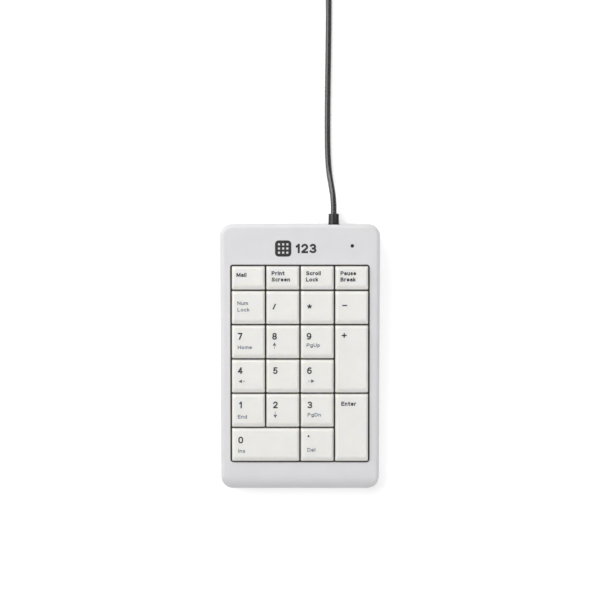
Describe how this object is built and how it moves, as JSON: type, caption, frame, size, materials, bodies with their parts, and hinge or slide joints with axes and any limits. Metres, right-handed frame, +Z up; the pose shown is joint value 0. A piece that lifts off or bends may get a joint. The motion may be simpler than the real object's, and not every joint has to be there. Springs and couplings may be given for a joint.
{
  "type": "numeric keypad",
  "caption": "Sloped desktop numeric keypad with low-profile keys in a sunken well, a status light and a USB cord wound in a tied coil.",
  "frame": {"origin": "on the desk, under the middle of the case", "axes": "+X to the user's right, +Y away from the user towards the cord, +Z up"},
  "size_m": [0.1056, 0.339, 0.0235],
  "materials": {
    "case": "satin",
    "keycap": "satin",
    "frame_black": "matte",
    "dome_rubber": "matte",
    "sheet": "gloss",
    "steel": "satin",
    "board": "satin",
    "chip_black": "matte",
    "tin": "polished",
    "screw": "satin",
    "clamp_plastic": "satin",
    "light": "gloss",
    "lamp": "gloss",
    "connector": "satin",
    "wire": "satin",
    "cord_black": "satin",
    "foot": "matte",
    "tie_black": "satin",
    "plug_black": "satin",
    "nickel": "polished",
    "gold": "polished",
    "ink": "matte",
    "plug_white": "satin"
  },
  "bodies": {
    "root": {"top_case": "case", "bottom_case": "case", "case_screws": "screw", "rubber_feet": "foot", "key_frame": "frame_black", "dome_mat": "dome_rubber", "membrane_top": "sheet", "membrane_spacer": "sheet", "membrane_bottom": "sheet", "steel_backplate": "steel", "plate_screws": "screw", "circuit_board": "board", "board_screws": "screw", "membrane_clamp": "clamp_plastic", "clamp_screws": "screw", "controller_chip": "chip_black", "crystal": "tin", "board_parts": "chip_black", "num_lock_led": "lamp", "led_lens": "light", "cable_header": "connector", "cable_connector": "connector", "cable_wires": "wire", "strain_relief": "cord_black", "usb_cord": "cord_black", "cord_tail": "cord_black", "cord_coil": "cord_black", "cord_tie": "tie_black", "plug_overmould": "plug_black", "plug_shell": "nickel", "plug_tongue": "plug_white", "plug_contacts": "gold"},
    "key_0": {"key_0": "keycap"},
    "key_decimal": {"key_decimal": "keycap"},
    "key_enter": {"key_enter": "keycap"},
    "key_1": {"key_1": "keycap"},
    "key_2": {"key_2": "keycap"},
    "key_3": {"key_3": "keycap"},
    "key_4": {"key_4": "keycap"},
    "key_5": {"key_5": "keycap"},
    "key_6": {"key_6": "keycap"},
    "key_plus": {"key_plus": "keycap"},
    "key_7": {"key_7": "keycap"},
    "key_8": {"key_8": "keycap"},
    "key_9": {"key_9": "keycap"},
    "key_num_lock": {"key_num_lock": "keycap"},
    "key_divide": {"key_divide": "keycap"},
    "key_multiply": {"key_multiply": "keycap"},
    "key_minus": {"key_minus": "keycap"},
    "key_mail": {"key_mail": "keycap"},
    "key_print_screen": {"key_print_screen": "keycap"},
    "key_scroll_lock": {"key_scroll_lock": "keycap"},
    "key_pause": {"key_pause": "keycap"},
    "stabiliser_zero": {"stabiliser_zero": "steel"},
    "stabiliser_enter": {"stabiliser_enter": "steel"},
    "stabiliser_plus": {"stabiliser_plus": "steel"}
  },
  "joints": [
    {"name": "press_0", "type": "slide", "parent": "root", "child": "key_0", "axis": [0, 0.0698, -0.9976], "range_m": [0, 0.0025], "stiffness_N_per_m": 150, "springref_m": -0.0013, "deforming": ["dome_mat"]},
    {"name": "press_decimal", "type": "slide", "parent": "root", "child": "key_decimal", "axis": [0, 0.0698, -0.9976], "range_m": [0, 0.0025], "stiffness_N_per_m": 150, "springref_m": -0.0013, "deforming": ["dome_mat"]},
    {"name": "press_enter", "type": "slide", "parent": "root", "child": "key_enter", "axis": [0, 0.0698, -0.9976], "range_m": [0, 0.0025], "stiffness_N_per_m": 150, "springref_m": -0.0013, "deforming": ["dome_mat"]},
    {"name": "press_1", "type": "slide", "parent": "root", "child": "key_1", "axis": [0, 0.0698, -0.9976], "range_m": [0, 0.0025], "stiffness_N_per_m": 150, "springref_m": -0.0013, "deforming": ["dome_mat"]},
    {"name": "press_2", "type": "slide", "parent": "root", "child": "key_2", "axis": [0, 0.0698, -0.9976], "range_m": [0, 0.0025], "stiffness_N_per_m": 150, "springref_m": -0.0013, "deforming": ["dome_mat"]},
    {"name": "press_3", "type": "slide", "parent": "root", "child": "key_3", "axis": [0, 0.0698, -0.9976], "range_m": [0, 0.0025], "stiffness_N_per_m": 150, "springref_m": -0.0013, "deforming": ["dome_mat"]},
    {"name": "press_4", "type": "slide", "parent": "root", "child": "key_4", "axis": [0, 0.0698, -0.9976], "range_m": [0, 0.0025], "stiffness_N_per_m": 150, "springref_m": -0.0013, "deforming": ["dome_mat"]},
    {"name": "press_5", "type": "slide", "parent": "root", "child": "key_5", "axis": [0, 0.0698, -0.9976], "range_m": [0, 0.0025], "stiffness_N_per_m": 150, "springref_m": -0.0013, "deforming": ["dome_mat"]},
    {"name": "press_6", "type": "slide", "parent": "root", "child": "key_6", "axis": [0, 0.0698, -0.9976], "range_m": [0, 0.0025], "stiffness_N_per_m": 150, "springref_m": -0.0013, "deforming": ["dome_mat"]},
    {"name": "press_plus", "type": "slide", "parent": "root", "child": "key_plus", "axis": [0, 0.0698, -0.9976], "range_m": [0, 0.0025], "stiffness_N_per_m": 150, "springref_m": -0.0013, "deforming": ["dome_mat"]},
    {"name": "press_7", "type": "slide", "parent": "root", "child": "key_7", "axis": [0, 0.0698, -0.9976], "range_m": [0, 0.0025], "stiffness_N_per_m": 150, "springref_m": -0.0013, "deforming": ["dome_mat"]},
    {"name": "press_8", "type": "slide", "parent": "root", "child": "key_8", "axis": [0, 0.0698, -0.9976], "range_m": [0, 0.0025], "stiffness_N_per_m": 150, "springref_m": -0.0013, "deforming": ["dome_mat"]},
    {"name": "press_9", "type": "slide", "parent": "root", "child": "key_9", "axis": [0, 0.0698, -0.9976], "range_m": [0, 0.0025], "stiffness_N_per_m": 150, "springref_m": -0.0013, "deforming": ["dome_mat"]},
    {"name": "press_num_lock", "type": "slide", "parent": "root", "child": "key_num_lock", "axis": [0, 0.0698, -0.9976], "range_m": [0, 0.0025], "stiffness_N_per_m": 150, "springref_m": -0.0013, "deforming": ["dome_mat"]},
    {"name": "press_divide", "type": "slide", "parent": "root", "child": "key_divide", "axis": [0, 0.0698, -0.9976], "range_m": [0, 0.0025], "stiffness_N_per_m": 150, "springref_m": -0.0013, "deforming": ["dome_mat"]},
    {"name": "press_multiply", "type": "slide", "parent": "root", "child": "key_multiply", "axis": [0, 0.0698, -0.9976], "range_m": [0, 0.0025], "stiffness_N_per_m": 150, "springref_m": -0.0013, "deforming": ["dome_mat"]},
    {"name": "press_minus", "type": "slide", "parent": "root", "child": "key_minus", "axis": [0, 0.0698, -0.9976], "range_m": [0, 0.0025], "stiffness_N_per_m": 150, "springref_m": -0.0013, "deforming": ["dome_mat"]},
    {"name": "press_mail", "type": "slide", "parent": "root", "child": "key_mail", "axis": [0, 0.0698, -0.9976], "range_m": [0, 0.0025], "stiffness_N_per_m": 150, "springref_m": -0.0013, "deforming": ["dome_mat"]},
    {"name": "press_print_screen", "type": "slide", "parent": "root", "child": "key_print_screen", "axis": [0, 0.0698, -0.9976], "range_m": [0, 0.0025], "stiffness_N_per_m": 150, "springref_m": -0.0013, "deforming": ["dome_mat"]},
    {"name": "press_scroll_lock", "type": "slide", "parent": "root", "child": "key_scroll_lock", "axis": [0, 0.0698, -0.9976], "range_m": [0, 0.0025], "stiffness_N_per_m": 150, "springref_m": -0.0013, "deforming": ["dome_mat"]},
    {"name": "press_pause", "type": "slide", "parent": "root", "child": "key_pause", "axis": [0, 0.0698, -0.9976], "range_m": [0, 0.0025], "stiffness_N_per_m": 150, "springref_m": -0.0013, "deforming": ["dome_mat"]},
    {"name": "swing_zero", "type": "hinge", "parent": "root", "child": "stabiliser_zero", "pos_m": [-0.01905, -0.05173, 0.01098], "axis": [1, 0, 0], "range_deg": [-18, 0]},
    {"name": "swing_enter", "type": "hinge", "parent": "root", "child": "stabiliser_enter", "pos_m": [0.03148, -0.03933, 0.01184], "axis": [0, 0.9976, 0.0698], "range_deg": [-18, 0]},
    {"name": "swing_plus", "type": "hinge", "parent": "root", "child": "stabiliser_plus", "pos_m": [0.03148, -0.00132, 0.0145], "axis": [0, 0.9976, 0.0698], "range_deg": [-18, 0]}
  ],
  "couplings": [
    {"joint": "swing_zero", "follows": "press_0", "rad_per_m": -125.6},
    {"joint": "swing_enter", "follows": "press_enter", "rad_per_m": -125.6},
    {"joint": "swing_plus", "follows": "press_plus", "rad_per_m": -125.6}
  ]
}
